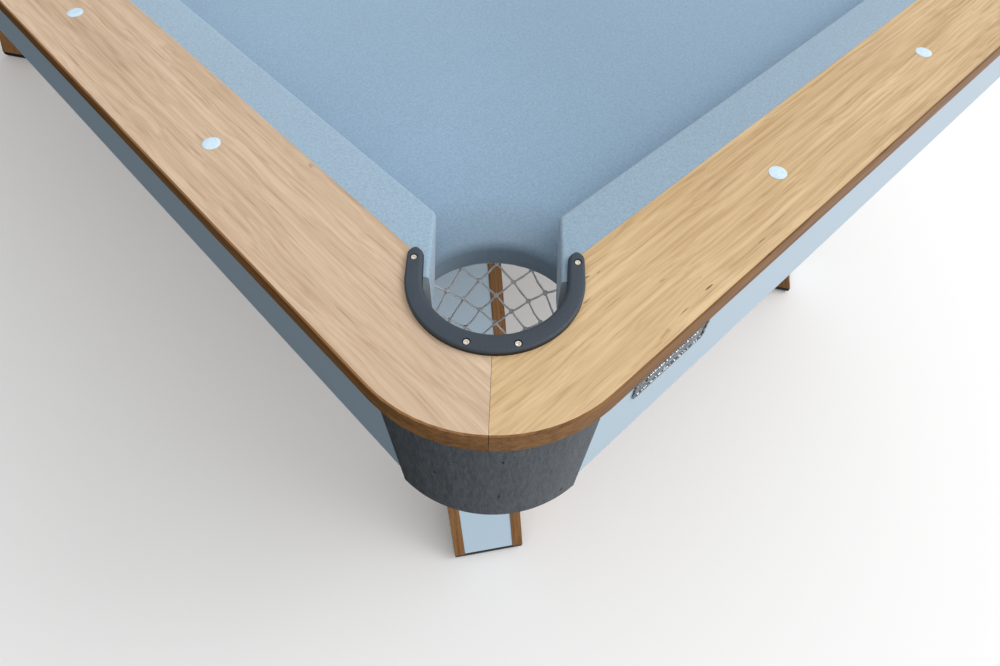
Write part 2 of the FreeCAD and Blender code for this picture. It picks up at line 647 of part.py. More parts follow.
# ---------------------------------------------------------------- all parts
def main():
    os.makedirs("parts", exist_ok=True)
    save("bed_board", [bed_board()])
    save("bed_cloth", [bed_cloth()])
    subs = sub_rails()
    save("sub_rails_long", [s for name, s in subs.items() if "_" in name])
    save("sub_rails_end", [subs["front"], subs["back"]])
    for name, rail in rail_tops().items():
        save("rail_top_" + name, [rail])
    save("rail_edge_bands", edge_bands())
    for name, (kind, sx, sy) in RAILS.items():
        cushion = end_cushion() if kind == "end" else side_cushion()
        save("cushion_" + name, [to_corner(cushion, sx, sy)])
    rings, clips = [], []
    for name, centre, angle, is_corner in pockets():
        save("pocket_liner_" + name, [liner(centre, angle, is_corner)])
        save("pocket_net_" + name, [net(centre, is_corner)])
        rings.append(net_ring(centre, is_corner))
        clips += net_clips(centre, angle, is_corner)
    save("net_rings", rings)
    save("net_clips", clips)
    save("liner_screws", [liner_screw(x, y) for x, y in screw_places()])
    save("sights", [cylinder(x, y, SIGHT_R, RAIL_TOP - SIGHT_DEPTH, RAIL_TOP + SIGHT_PROUD)
                    for x, y in sight_places()])
    save("apron_left", [side_apron()])
    save("apron_right", [to_corner(side_apron(), 1, -1)])
    save("apron_front", [end_apron()])
    save("apron_back", [to_corner(end_apron(), -1, 1)])
    save("nameplate", [nameplate()])
    save("frame_long_beams", long_beams())
    save("frame_cross_beams", cross_beams())
    save("leg_mount_plates", mount_plates())
    for name, (sx, sy) in CORNERS.items():
        save("corner_block_" + name, [to_corner(corner_block(), sx, sy)])
        save("leg_sides_" + name, [to_corner(s, sx, sy) for s in leg_sides()])
        save("leg_panels_" + name, [to_corner(s, sx, sy) for s in leg_panels()])
        save("levelling_foot_" + name, [to_corner(levelling_foot(), sx, sy)])
    save("leg_base_blocks", [to_corner(base_block(), sx, sy) for sx, sy in CORNERS.values()])
    save("leg_top_blocks", [to_corner(top_block(), sx, sy) for sx, sy in CORNERS.values()])


main()
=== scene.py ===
# %% [markdown]
# # A pool table with drop pockets
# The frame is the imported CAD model: boards, legs, pockets and feet, all in metres, with the
# floor at z = 0 and the origin under the middle of the table. X runs across, Y along, Z up.
# Hard pieces keep their CAD shape and get softened edges. Cloth, liners and nets are made new.

# %% Load the frame
import json
import math
import random

import bpy
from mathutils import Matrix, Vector


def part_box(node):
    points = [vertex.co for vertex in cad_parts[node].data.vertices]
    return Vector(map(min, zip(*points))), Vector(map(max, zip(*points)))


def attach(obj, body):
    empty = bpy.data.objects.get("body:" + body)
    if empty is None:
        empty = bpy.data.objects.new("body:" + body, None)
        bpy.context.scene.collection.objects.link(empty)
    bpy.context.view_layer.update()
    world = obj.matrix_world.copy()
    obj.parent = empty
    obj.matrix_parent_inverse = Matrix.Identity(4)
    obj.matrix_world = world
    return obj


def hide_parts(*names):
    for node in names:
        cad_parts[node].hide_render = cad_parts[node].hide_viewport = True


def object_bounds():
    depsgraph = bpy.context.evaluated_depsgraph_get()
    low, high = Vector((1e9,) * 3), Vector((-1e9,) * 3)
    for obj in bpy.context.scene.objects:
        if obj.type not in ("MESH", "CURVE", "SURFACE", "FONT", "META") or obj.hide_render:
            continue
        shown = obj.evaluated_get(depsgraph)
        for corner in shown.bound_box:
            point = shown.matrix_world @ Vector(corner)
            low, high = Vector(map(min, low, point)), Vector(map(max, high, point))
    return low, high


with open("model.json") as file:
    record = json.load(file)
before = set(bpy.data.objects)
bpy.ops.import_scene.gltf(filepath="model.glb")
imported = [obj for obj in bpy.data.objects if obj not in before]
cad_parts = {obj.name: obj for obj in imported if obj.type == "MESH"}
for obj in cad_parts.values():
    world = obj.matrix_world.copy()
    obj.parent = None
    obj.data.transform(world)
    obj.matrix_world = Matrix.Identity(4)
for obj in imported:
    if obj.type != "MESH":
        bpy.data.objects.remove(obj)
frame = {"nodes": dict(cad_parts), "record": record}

cad_low, cad_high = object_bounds()
nodes = frame["nodes"]
CORNERS = ("front_left", "front_right", "back_left", "back_right")
SIDES = ("side_left", "side_right")
RAILS = ("front", "back", "left_front", "left_back", "right_front", "right_back")
bpy.ops.object.select_all(action="DESELECT")
print("CAD box", tuple(cad_low), tuple(cad_high))

# %% [markdown]
# ## Camera
# The view is from just outside the front left corner, looking down across the pocket. A 25 mm
# lens close to the table makes the near corner large and lets both rails run off to the sides.
# The camera's place is given from the rail's outer corner, so it follows the table's size.

# %% Camera
RAIL_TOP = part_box("rail_top_front")[1].z
CAMERA_FROM_CORNER = Vector((-0.0870, -0.0943, 0.3605))
CAMERA_TURN = (34.07, -1.02, -43.34)
CAMERA_LENS = 25.0

camera = bpy.data.objects.new("camera", bpy.data.cameras.new("camera"))
bpy.context.scene.collection.objects.link(camera)
camera.data.lens = CAMERA_LENS
camera.data.sensor_width = 36.0
camera.data.clip_start = 0.01
camera.location = Vector((cad_low.x, cad_low.y, RAIL_TOP)) + CAMERA_FROM_CORNER
camera.rotation_euler = [math.radians(a) for a in CAMERA_TURN]
bpy.context.scene.camera = camera
print("camera at", tuple(camera.location))

# %% [markdown]
# ## Floor and light
# A product studio: a wide pale floor, a soft sky and one large lamp. The sky is brightest
# above the front and falls away to the left, so that the front apron is bright and the left
# apron is grey. The floor is lit as the table is, but it throws no light back up, which keeps
# the space under the bed dark. Plain display colours keep the oak from fading.

# %% Floor
FLOOR_SIZE = 40.0
FLOOR_BELOW = 0.001
bpy.ops.mesh.primitive_plane_add(size=FLOOR_SIZE, location=(0, 0, -FLOOR_BELOW))
floor = bpy.context.object
floor.name = "studio_floor"
floor.visible_diffuse = False
floor.visible_glossy = False
bpy.context.scene.view_settings.view_transform = "Standard"

# %% Sky
SKY_TOWARDS = Vector((0.50, -0.68, 0.54)).normalized()
SKY_FROM, SKY_BRIGHT = -0.80, 1.35
world = bpy.data.worlds.new("studio_sky")
bpy.context.scene.world = world
world.use_nodes = True
sky = world.node_tree
towards = sky.nodes.new("ShaderNodeTexCoord").outputs["Generated"]
facing = sky.nodes.new("ShaderNodeVectorMath")
facing.operation = "DOT_PRODUCT"
facing.inputs[1].default_value = SKY_TOWARDS
strength = sky.nodes.new("ShaderNodeMapRange")
for socket, value in zip(strength.inputs[1:5], (SKY_FROM, 1.0, 0.0, SKY_BRIGHT)):
    socket.default_value = value
sky.links.new(towards, facing.inputs[0])
sky.links.new(facing.outputs["Value"], strength.inputs[0])
sky.links.new(strength.outputs[0], sky.nodes["Background"].inputs["Strength"])
sky.nodes["Background"].inputs["Color"].default_value = (1.0, 1.0, 1.0, 1.0)

# %% Lamp
LAMP_PLACE, LAMP_TARGET = Vector((2.6, -3.2, 4.6)), Vector((0.0, -0.5, 0.7))
lamp = bpy.data.objects.new("soft_lamp", bpy.data.lights.new("soft_lamp", "AREA"))
bpy.context.scene.collection.objects.link(lamp)
lamp.data.size = 2.6
lamp.data.energy = 72.0
lamp.location = LAMP_PLACE
lamp.rotation_euler = (LAMP_TARGET - LAMP_PLACE).to_track_quat("-Z", "Y").to_euler()
print("sky from", tuple(SKY_TOWARDS))

# %% [markdown]
# ## Writing shader maths
# Every finish below is a small sum of patterns. `Wire` wraps a socket so that a pattern can be
# added, scaled or raised to a power with ordinary signs, and each sign adds one Math node.
# `Finish` makes the material and adds any other node in one line.


# %% Shader helpers
class Wire:
    """One value socket that can be used in a sum."""

    def __init__(self, finish, socket):
        self.finish = finish
        self.socket = socket

    def join(self, operation, first, second):
        made = self.finish.node("ShaderNodeMath", {"operation": operation}, {0: first, 1: second})
        return Wire(self.finish, made.outputs[0])

    def __add__(self, other):
        return self.join("ADD", self, other)

    def __mul__(self, other):
        return self.join("MULTIPLY", self, other)

    def __sub__(self, other):
        return self.join("SUBTRACT", self, other)

    def __rsub__(self, other):
        return self.join("SUBTRACT", other, self)

    def __pow__(self, other):
        return self.join("POWER", self, other)

    __radd__ = __add__
    __rmul__ = __mul__

    def ramp(self, low, high, out_low=0.0, out_high=1.0):
        """Straight line between two values, held flat outside them."""
        values = {0: self, 1: low, 2: high, 3: out_low, 4: out_high}
        made = self.finish.node("ShaderNodeMapRange", {"clamp": True}, values)
        return Wire(self.finish, made.outputs[0])

    def sine(self):
        made = self.finish.node("ShaderNodeMath", {"operation": "SINE"}, {0: self})
        return Wire(self.finish, made.outputs[0])


class Finish:
    """A material with a Principled shader, and a short way to add its nodes."""

    def __init__(self, name, **sockets):
        self.material = bpy.data.materials.new(name)
        self.material.use_nodes = True
        self.tree = self.material.node_tree
        self.shader = self.tree.nodes["Principled BSDF"]
        for socket, value in sockets.items():
            self.shader.inputs[socket.replace("_", " ")].default_value = value
        self.place = self.node("ShaderNodeTexCoord").outputs["Object"]

    def node(self, kind, settings=None, values=None):
        made = self.tree.nodes.new(kind)
        for key, value in (settings or {}).items():
            setattr(made, key, value)
        for key, value in (values or {}).items():
            self.feed(made.inputs[key], value)
        return made

    def feed(self, socket, value):
        if isinstance(value, Wire):
            value = value.socket
        if isinstance(value, bpy.types.NodeSocket):
            self.tree.links.new(value, socket)
        else:
            socket.default_value = value

    def vector(self, operation, first, second=None, scale=None):
        values = {0: first}
        if second is not None:
            values[1] = second
        if scale is not None:
            values["Scale"] = scale
        made = self.node("ShaderNodeVectorMath", {"operation": operation}, values)
        return made.outputs["Value" if operation in ("DOT_PRODUCT", "DISTANCE") else "Vector"]

    def stretched(self, direction, across, along, shift=(0.0, 0.0, 0.0)):
        """Object place scaled one way along a direction and another way across it."""
        moved = self.vector("ADD", self.place, shift)
        length = self.vector("DOT_PRODUCT", moved, tuple(direction))
        line = self.vector("SCALE", tuple(direction), scale=length)
        rest = self.vector("SUBTRACT", moved, line)
        return self.vector("ADD", self.vector("SCALE", rest, scale=across),
                           self.vector("SCALE", line, scale=along))

    def noise(self, place, scale=1.0, detail=3.0, roughness=0.55, distortion=0.0):
        values = {"Vector": place, "Scale": scale, "Detail": detail, "Roughness": roughness,
                  "Distortion": distortion}
        return Wire(self, self.node("ShaderNodeTexNoise", None, values).outputs["Fac"])

    def cells(self, place, scale, feature="F1"):
        made = self.node("ShaderNodeTexVoronoi", {"feature": feature}, {"Vector": place, "Scale": scale})
        return Wire(self, made.outputs["Distance"])

    def blend(self, first, second, amount, mode="MIX"):
        settings = {"data_type": "RGBA", "blend_type": mode, "clamp_factor": True}
        made = self.node("ShaderNodeMix", settings, {"Factor": amount, 6: first, 7: second})
        return made.outputs[2]

    def colour(self, value):
        self.feed(self.shader.inputs["Base Color"], value)

    def rough(self, value):
        self.feed(self.shader.inputs["Roughness"], value)

    def bump(self, height, distance, strength=1.0):
        made = self.node("ShaderNodeBump", None, {"Height": height, "Distance": distance, "Strength": strength})
        self.tree.links.new(made.outputs["Normal"], self.shader.inputs["Normal"])


def rgb(red, green, blue):
    return (red, green, blue, 1.0)


# %% [markdown]
# ## Oak
# The rails are boards with an oak print. Oak shows several things at once: wide pale and tan
# bands, long arches where the rings are cut at a low angle, fibre lines a millimetre or two
# apart, short dark pores, and now and then a small split. Each is noise stretched along the
# grain, and a slow noise pushes the fibre lines sideways so that they wander. The arches come from the sine of a slow noise, because the contours of a stretched
# noise are long closed loops, as on a sawn board.


# %% Oak finish
def oak(name, grain, shift, pale, mid, dark, gloss=0.26, roughness=0.42):
    finish = Finish(name, Specular_IOR_Level=gloss)
    bands = finish.noise(finish.stretched(grain, 24.0, 1.2, shift), 1.0, 2.0, 0.5, 0.2)
    slow = finish.noise(finish.stretched(grain, 9.0, 0.8, shift), 1.0, 1.0, 0.5)
    arches = (slow * 95.0).sine() * 0.5 + 0.5
    streak = finish.noise(finish.stretched(grain, 120.0, 3.0, shift), 1.0, 4.0, 0.65)
    sway = finish.noise(finish.stretched(grain, 34.0, 9.0, shift), 1.0, 1.0) * 4.0
    fibre_place = finish.vector("ADD", finish.stretched(grain, 400.0, 9.0, shift), sway)
    fibre = finish.noise(fibre_place, 1.0, 3.0, 0.6)
    line = finish.noise(finish.vector("SCALE", fibre_place, scale=0.9), 1.0, 2.0, 0.5)
    pore = finish.noise(finish.stretched(grain, 620.0, 24.0, shift), 1.0, 1.0, 0.5)
    pores = pore.ramp(0.60, 0.70) * streak.ramp(0.40, 0.60, 0.2, 1.0)
    lines = streak.ramp(0.38, 0.62) * 0.18 + fibre.ramp(0.38, 0.62) * 0.30 + line.ramp(0.50, 0.60) * 0.22
    tone = bands.ramp(0.36, 0.62) * 0.28 + arches * 0.08 + lines
    base = finish.blend(rgb(*pale), rgb(*mid), tone)
    burn = finish.noise(finish.stretched(grain, 26.0, 5.0, shift), 1.0, 2.0).ramp(0.60, 0.80) * 0.40
    split = finish.noise(finish.stretched(grain, 330.0, 60.0, shift), 1.0, 1.0).ramp(0.70, 0.75)
    knotty = finish.noise(finish.stretched(grain, 13.0, 6.0, shift), 1.0, 1.0).ramp(0.60, 0.68)
    base = finish.blend(base, rgb(*dark), burn * fibre.ramp(0.2, 0.8, 0.5, 1.0))
    finish.colour(finish.blend(base, rgb(*dark), pores * 0.30 + split * knotty * 0.9))
    finish.rough(fibre * 0.12 + pores * 0.15 + (roughness - 0.05))
    finish.bump(fibre * 0.5 - pores, 0.00010, 0.4)
    return finish.material


ALONG_X, ALONG_Y, ALONG_Z = (1.0, 0.0, 0.0), (0.0, 1.0, 0.0), (0.0, 0.0, 1.0)
LIGHT_OAK = ((0.75, 0.57, 0.410), (0.47, 0.320, 0.200), (0.17, 0.085, 0.040))
HONEY_OAK = ((0.79, 0.58, 0.335), (0.48, 0.305, 0.140), (0.17, 0.075, 0.030))
EDGE_OAK = ((0.36, 0.185, 0.072), (0.155, 0.072, 0.027), (0.050, 0.022, 0.009))

rail_oak = {}
for index, rail in enumerate(RAILS):
    shades = HONEY_OAK if rail in ("front", "back") else LIGHT_OAK
    grain = ALONG_X if rail in ("front", "back") else ALONG_Y
    rail_oak[rail] = oak("oak_rail_" + rail, grain, (1.7 * index, 0.9 * index, 0.4), *shades)
EDGE_GLOSS = 0.10
edge_oak_side = oak("oak_edge_side", ALONG_Y, (0.2, 0.1, 0.7), *EDGE_OAK, EDGE_GLOSS)
edge_oak_end = oak("oak_edge_end", ALONG_X, (0.5, 0.8, 0.1), *EDGE_OAK, EDGE_GLOSS)

# %% [markdown]
# ## Felt
# Billiard cloth is wool with a short nap. Close up it is a fine mottle of fibres; from further
# away it is a very even colour with a faint sheen at low angles. Two fine noises give the
# mottle, one slow noise keeps large areas from being flat, and the bump stays tiny. Near each
# pocket the bed cloth fades to grey: partly wear where balls rub it as they drop, and partly
# painted shade for the shadow the balls cast there. The place is folded into one quarter of the
# table first, so that one distance serves all four corner pockets.


# %% Felt finish
POCKET_AT = {"corner": (cad_high.x - 0.1117, cad_high.y - 0.1117), "side": (cad_high.x - 0.084, 0.0)}
# Grey near each pocket: partly wear, partly painted shade for the balls' shadow.
WORN_AND_SHADED_GREY = (0.150, 0.185, 0.215)


def felt(name, colour, worn_and_shaded=0.0):
    finish = Finish(name, Roughness=0.92, Sheen_Weight=0.30, Sheen_Roughness=0.5, Specular_IOR_Level=0.15)
    nap = finish.noise(finish.place, 1500.0, 3.0, 0.7)
    tuft = finish.noise(finish.place, 520.0, 3.0, 0.65)
    drift = finish.noise(finish.place, 3.5, 2.0, 0.5)
    dark = rgb(*[c * 0.70 for c in colour])
    light = rgb(*[min(1.0, c * 1.20) for c in colour])
    mottle = nap.ramp(0.28, 0.72) * 0.5 + tuft.ramp(0.32, 0.68) * 0.4 + drift.ramp(0.35, 0.65) * 0.1
    shade = finish.blend(dark, light, mottle)
    # Fade to grey near each pocket: partly wear, partly painted shade.
    if worn_and_shaded:
        quarter = finish.vector("ABSOLUTE", finish.vector("MULTIPLY", finish.place, (1.0, 1.0, 0.0)))
        for x, y in POCKET_AT.values():
            away = Wire(finish, finish.vector("DISTANCE", quarter, (x, y, 0.0)))
            shade = finish.blend(shade, rgb(*WORN_AND_SHADED_GREY), away.ramp(0.058, 0.118, worn_and_shaded, 0.0))
    finish.colour(shade)
    finish.bump(nap * 0.6 + tuft * 0.4, 0.00025, 0.6)
    return finish.material


bed_felt = felt("felt_bed", (0.285, 0.42, 0.56), 0.55)
# The cushion cloth is set lighter and greyer than the bed cloth: painted light, for the same cloth lit at another
# angle.
cushion_felt_painted_light = felt("felt_cushion_painted_light", (0.33, 0.46, 0.58))

# %% [markdown]
# ## Laminates, liner, cord and metal
# The aprons and leg panels are a smooth pale laminate. The corner blocks carry a slate print:
# fine upright streaks with a few black specks. The pocket liners are moulded with a leather grain,
# which is Voronoi cells turned into bump. Below a set height the liner is coloured near-black:
# painted shade, for the shadow line along its foot and on its skirt in the pocket. The net is
# cotton cord, so its colour is broken up by fine strands.


# %% Other finishes
def laminate(name, colour):
    finish = Finish(name, Roughness=0.34, Specular_IOR_Level=0.45)
    drift = finish.noise(finish.place, 2.2, 2.0)
    grain = finish.noise(finish.place, 1500.0, 2.0)
    shaded = rgb(*[c * 0.955 for c in colour])
    finish.colour(finish.blend(rgb(*colour), shaded, drift.ramp(0.3, 0.7)))
    finish.rough(grain * 0.10 + 0.29)
    finish.bump(grain, 0.00003, 0.5)
    return finish.material


def slate(name):
    finish = Finish(name, Specular_IOR_Level=0.35)
    streak = finish.noise(finish.stretched(ALONG_Z, 480.0, 85.0), 1.0, 4.0, 0.7)
    fine = finish.noise(finish.stretched(ALONG_Z, 1100.0, 300.0), 1.0, 2.0, 0.6)
    broad = finish.noise(finish.stretched(ALONG_Z, 70.0, 12.0), 1.0, 3.0)
    speck = finish.noise(finish.stretched(ALONG_Z, 210.0, 80.0), 1.0, 1.0)
    dark, mid, black = rgb(0.045, 0.056, 0.068), rgb(0.148, 0.168, 0.185), rgb(0.010, 0.011, 0.013)
    tone = streak.ramp(0.34, 0.66) * 0.5 + fine.ramp(0.35, 0.65) * 0.25 + broad.ramp(0.35, 0.65) * 0.15
    base = finish.blend(dark, mid, tone)
    finish.colour(finish.blend(base, black, speck.ramp(0.72, 0.77) * 0.9))
    finish.rough(streak * 0.20 + 0.40)
    finish.bump(streak, 0.0003, 0.7)
    return finish.material


def leather_grain(name, colour, roughness, cell=900.0, painted_shade_below=None):
    finish = Finish(name, Specular_IOR_Level=0.4)
    hide = finish.cells(finish.place, cell, "SMOOTH_F1")
    fine = finish.noise(finish.place, 2400.0, 2.0)
    wear = finish.noise(finish.place, 22.0, 3.0)
    worn = rgb(*[min(1.0, c * 1.30) for c in colour])
    shade = finish.blend(rgb(*colour), worn, wear.ramp(0.4, 0.7) * 0.6 + fine.ramp(0.4, 0.7) * 0.3)
    # Below the given height the colour turns near-black: painted shade for the shadow line at the liner's foot.
    if painted_shade_below is not None:
        height = Wire(finish, finish.vector("DOT_PRODUCT", finish.place, ALONG_Z))
        lower = height.ramp(painted_shade_below - 0.0002, painted_shade_below + 0.0002, 1.0, 0.0)
        shade = finish.blend(shade, rgb(0.010, 0.010, 0.011), lower)
    finish.colour(shade)
    finish.rough(hide.ramp(0.0, 0.6, roughness + 0.10, roughness - 0.08))
    finish.bump(hide * -1.0 + fine * 0.2, 0.0002, 0.7)
    return finish.material


def cord_white(name):
    finish = Finish(name, Roughness=0.85, Sheen_Weight=0.2)
    strand = finish.noise(finish.place, 1500.0, 3.0, 0.7)
    grime = finish.noise(finish.place, 60.0, 2.0)
    base = finish.blend(rgb(0.93, 0.95, 0.98), rgb(0.70, 0.73, 0.77), strand.ramp(0.35, 0.7))
    finish.colour(finish.blend(base, rgb(0.40, 0.40, 0.41), grime.ramp(0.5, 0.8) * 0.3))
    finish.bump(strand, 0.0004, 0.8)
    return finish.material


def metal(name, colour, roughness, scale=900.0):
    finish = Finish(name, Metallic=1.0)
    mark = finish.noise(finish.place, scale, 3.0)
    worn = rgb(*[c * 0.72 for c in colour])
    finish.colour(finish.blend(rgb(*colour), worn, mark.ramp(0.4, 0.75)))
    finish.rough(mark * 0.2 + (roughness - 0.08))
    finish.bump(mark, 0.00003, 0.5)
    return finish.material


def sparkling_plate(name):
    finish = Finish(name, Metallic=1.0)
    mark = finish.noise(finish.place, 520.0, 2.0)
    fine = finish.noise(finish.place, 1600.0, 2.0)
    bright = mark.ramp(0.48, 0.56) * fine.ramp(0.40, 0.55)
    finish.colour(finish.blend(rgb(0.055, 0.075, 0.095), rgb(0.80, 0.86, 0.90), bright))
    finish.rough(mark * 0.2 + 0.16)
    finish.bump(mark, 0.00010, 0.8)
    return finish.material


def pearl(name):
    finish = Finish(name, Coat_Weight=0.4, Coat_Roughness=0.1, Specular_IOR_Level=0.5)
    swirl = finish.noise(finish.place, 160.0, 3.0, 0.5, 1.2)
    finish.colour(finish.blend(rgb(0.58, 0.78, 0.93), rgb(0.70, 0.87, 0.97), swirl.ramp(0.35, 0.65)))
    finish.rough(swirl * 0.1 + 0.18)
    return finish.material


def board(name, pale, dark, scale=260.0):
    finish = Finish(name, Roughness=0.8, Specular_IOR_Level=0.2)
    chips = finish.noise(finish.place, scale, 4.0, 0.7)
    cloud = finish.noise(finish.place, 9.0, 2.0)
    finish.colour(finish.blend(rgb(*pale), rgb(*dark), chips.ramp(0.35, 0.7) * 0.8 + cloud * 0.15))
    finish.bump(chips, 0.0003, 0.5)
    return finish.material


white_laminate = laminate("laminate_white", (0.50, 0.64, 0.76))
slate_laminate = slate("laminate_slate")
# LINER_FACE sets the height below which the liner is painted near-black as shade.
LINER_FACE = 0.0026
liner_grain = leather_grain("liner_grained", (0.038, 0.052, 0.071), 0.50, 900.0, RAIL_TOP + LINER_FACE)
black_rubber = leather_grain("rubber_black", (0.012, 0.012, 0.013), 0.55, 1400.0)
net_cord = cord_white("cord_cotton")
zinc_wire = metal("steel_zinc", (0.55, 0.56, 0.58), 0.38)
screw_steel = metal("steel_screw", (0.86, 0.80, 0.70), 0.24)
plate_metal = sparkling_plate("metal_nameplate")
sight_pearl = pearl("pearl_sight")
fibreboard = board("board_fibre", (0.42, 0.31, 0.20), (0.24, 0.165, 0.10))
SOFTWOOD = ((0.60, 0.42, 0.23), (0.46, 0.29, 0.14), (0.28, 0.15, 0.06))
beam_wood = {"long": oak("softwood_long", ALONG_Y, (0.3, 0.2, 0.1), *SOFTWOOD),
             "cross": oak("softwood_cross", ALONG_X, (0.1, 0.5, 0.2), *SOFTWOOD)}

floor_paint = Finish("floor_pale", Roughness=0.9, Emission_Strength=0.05)
floor_paint.shader.inputs["Base Color"].default_value = rgb(0.93, 0.93, 0.93)
floor_paint.shader.inputs["Emission Color"].default_value = rgb(1.0, 1.0, 1.0)
floor.data.materials.append(floor_paint.material)
print("materials", len(bpy.data.materials))

# %% [markdown]
# ## Softened copies
# A CAD board has perfectly sharp edges, and a real board doesn't. Each hard piece is a welded
# copy of its CAD node whose sharp edges get a narrow bevel, which catches the light as a thin
# line. Weighted normals keep the large faces flat beside their bevels. The copy stands in the
# same place, so nothing is moved.


# %% Helper: softened copy of a CAD piece
def only(piece):
    bpy.ops.object.select_all(action="DESELECT")
    piece.select_set(True)
    bpy.context.view_layer.objects.active = piece


def apply_modifier(piece, kind, **settings):
    only(piece)
    modifier = piece.modifiers.new(kind.lower(), kind)
    for key, value in settings.items():
        setattr(modifier, key, value)
    bpy.ops.object.modifier_apply(modifier=modifier.name)


def place_at_origin(piece):
    only(piece)
    bpy.ops.object.transform_apply(location=True, rotation=True, scale=True)


def finish_piece(piece, name, material, body, replaced=()):
    piece.name = name
    piece.data.name = name
    piece.data.materials.clear()
    piece.data.materials.append(material)
    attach(piece, body)
    if replaced:
        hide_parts(*replaced)
    return piece


def softened(node, material, width=0.0006, steps=2, body="table"):
    piece = bpy.data.objects.new(node + "_soft", nodes[node].data.copy())
    bpy.context.scene.collection.objects.link(piece)
    only(piece)
    bpy.ops.mesh.customdata_custom_splitnormals_clear()
    bpy.ops.object.mode_set(mode="EDIT")
    bpy.ops.mesh.select_all(action="SELECT")
    bpy.ops.mesh.remove_doubles(threshold=0.00001)
    bpy.ops.mesh.dissolve_limited(angle_limit=math.radians(0.4))
    bpy.ops.mesh.normals_make_consistent(inside=False)
    bpy.ops.object.mode_set(mode="OBJECT")
    apply_modifier(piece, "BEVEL", width=width, segments=steps, limit_method="ANGLE",
                   angle_limit=math.radians(35), harden_normals=False)
    only(piece)
    bpy.ops.object.shade_smooth_by_angle(angle=math.radians(38))
    apply_modifier(piece, "WEIGHTED_NORMAL", mode="FACE_AREA", weight=50, keep_sharp=True)
    slot = next(s["material_slot"] for s in frame["record"]["subparts"] if s["node"] == node)
    return finish_piece(piece, node + "_soft", material, body, [node])


for rail in RAILS:
    softened("rail_top_" + rail, rail_oak[rail], 0.0003)
for node in ("apron_left", "apron_right", "apron_front", "apron_back"):
    softened(node, white_laminate, 0.0006)
for corner in CORNERS:
    softened("corner_block_" + corner, slate_laminate, 0.0008)
softened("nameplate", plate_metal, 0.0004)
print("rails, aprons and corners done")

# %% [markdown]
# ## Edge bands
# The band is one strip of edging per rail and turns round the corner with it. Its grain runs
# with the rail, so each strip is coloured by the rail it belongs to: strips that lie mostly
# along the table get the side grain, and the two end strips get the end grain.

# %% Edge bands
bands = softened("rail_edge_bands", edge_oak_side, 0.0003)
bands.data.materials.append(edge_oak_end)
half_end = abs(cad_low.y) - abs(cad_low.x)
for face in bands.data.polygons:
    beyond_mitre = abs(face.center.y) - half_end > abs(face.center.x)
    face.material_index = 1 if beyond_mitre else 0

# %% [markdown]
# ## Bed cloth
# The cloth is cut as one piece, pulled tight over the bed and glued down inside each pocket.
# It is made as the bed block itself with the pockets cut out and their rims rounded. Then the
# underside and outer sides are deleted, so that only the skin is left, and the skin is given
# the cloth's thickness.

# %% Bed cloth
CLOTH_T = 0.001
CORNER_HOLE, SIDE_HOLE = 0.065, 0.053
CORNER_INSET, SIDE_INSET = 0.1117, 0.084
RIM = 0.007

pockets = {}
for corner in CORNERS:
    east = 1 if "right" in corner else -1
    north = 1 if "back" in corner else -1
    spot = Vector((east * (cad_high.x - CORNER_INSET), north * (cad_high.y - CORNER_INSET), 0))
    pockets[corner] = (spot, math.atan2(-north, -east), CORNER_HOLE)
for side in SIDES:
    east = 1 if "right" in side else -1
    pockets[side] = (Vector((east * (cad_high.x - SIDE_INSET), 0, 0)), 0.0 if east < 0 else math.pi, SIDE_HOLE)

cloth_low, cloth_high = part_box("bed_cloth")


def cutter_cylinder(spot, radius, low, high, sides=96):
    bpy.ops.mesh.primitive_cylinder_add(vertices=sides, radius=radius, depth=high - low,
                                        location=(spot.x, spot.y, (low + high) / 2))
    return bpy.context.object


def cutter_box(low, high):
    bpy.ops.mesh.primitive_cube_add(size=1, location=(Vector(low) + Vector(high)) / 2)
    bpy.context.object.scale = Vector(high) - Vector(low)
    return bpy.context.object


def cut_away(piece, cutter):
    apply_modifier(piece, "BOOLEAN", operation="DIFFERENCE", object=cutter, solver="EXACT")
    bpy.data.objects.remove(cutter)


# %% Cut the pockets out of the cloth block
PAST_EDGE = 0.2
cloth = cutter_box(cloth_low, cloth_high)
place_at_origin(cloth)
for name, (spot, angle, hole) in pockets.items():
    below, above = cloth_low.z - 0.01, cloth_high.z + 0.01
    cut_away(cloth, cutter_cylinder(spot, hole, below, above))
    outer_x = spot.x + math.copysign(PAST_EDGE, spot.x)
    ends_y = (spot.y, spot.y + math.copysign(PAST_EDGE, spot.y)) if name in CORNERS else (-hole, hole)
    cut_away(cloth, cutter_box((min(spot.x, outer_x), min(ends_y), below), (max(spot.x, outer_x), max(ends_y), above)))


# %% Round the rims and keep only the skin
def pick(piece, test, domain="FACE"):
    """Select faces or edges in object mode by a test on them, then enter edit mode."""
    only(piece)
    bpy.ops.object.mode_set(mode="EDIT")
    bpy.ops.mesh.select_all(action="DESELECT")
    bpy.ops.mesh.select_mode(type=domain)
    bpy.ops.object.mode_set(mode="OBJECT")
    items = piece.data.polygons if domain == "FACE" else piece.data.edges
    for item in items:
        item.select = bool(test(item))
    bpy.ops.object.mode_set(mode="EDIT")


def edge_ends(piece, edge):
    return [piece.data.vertices[i].co for i in edge.vertices]


def on_pocket_rim(edge):
    ends = edge_ends(cloth, edge)
    if min(e.z for e in ends) < cloth_high.z - 1e-5:
        return False
    return any(all(abs((e.xy - spot.xy).length - hole) < 0.0004 for e in ends) for spot, _, hole in pockets.values())


pick(cloth, on_pocket_rim, "EDGE")
bpy.ops.mesh.bevel(offset=RIM, segments=6, affect="EDGES", clamp_overlap=False)
bpy.ops.object.mode_set(mode="OBJECT")


def hidden_side(face):
    if abs(face.normal.z) > 0.9:
        return face.center.z < cloth_high.z - 0.01
    return min(cloth_high.x - abs(face.center.x), cloth_high.y - abs(face.center.y)) < 0.0005


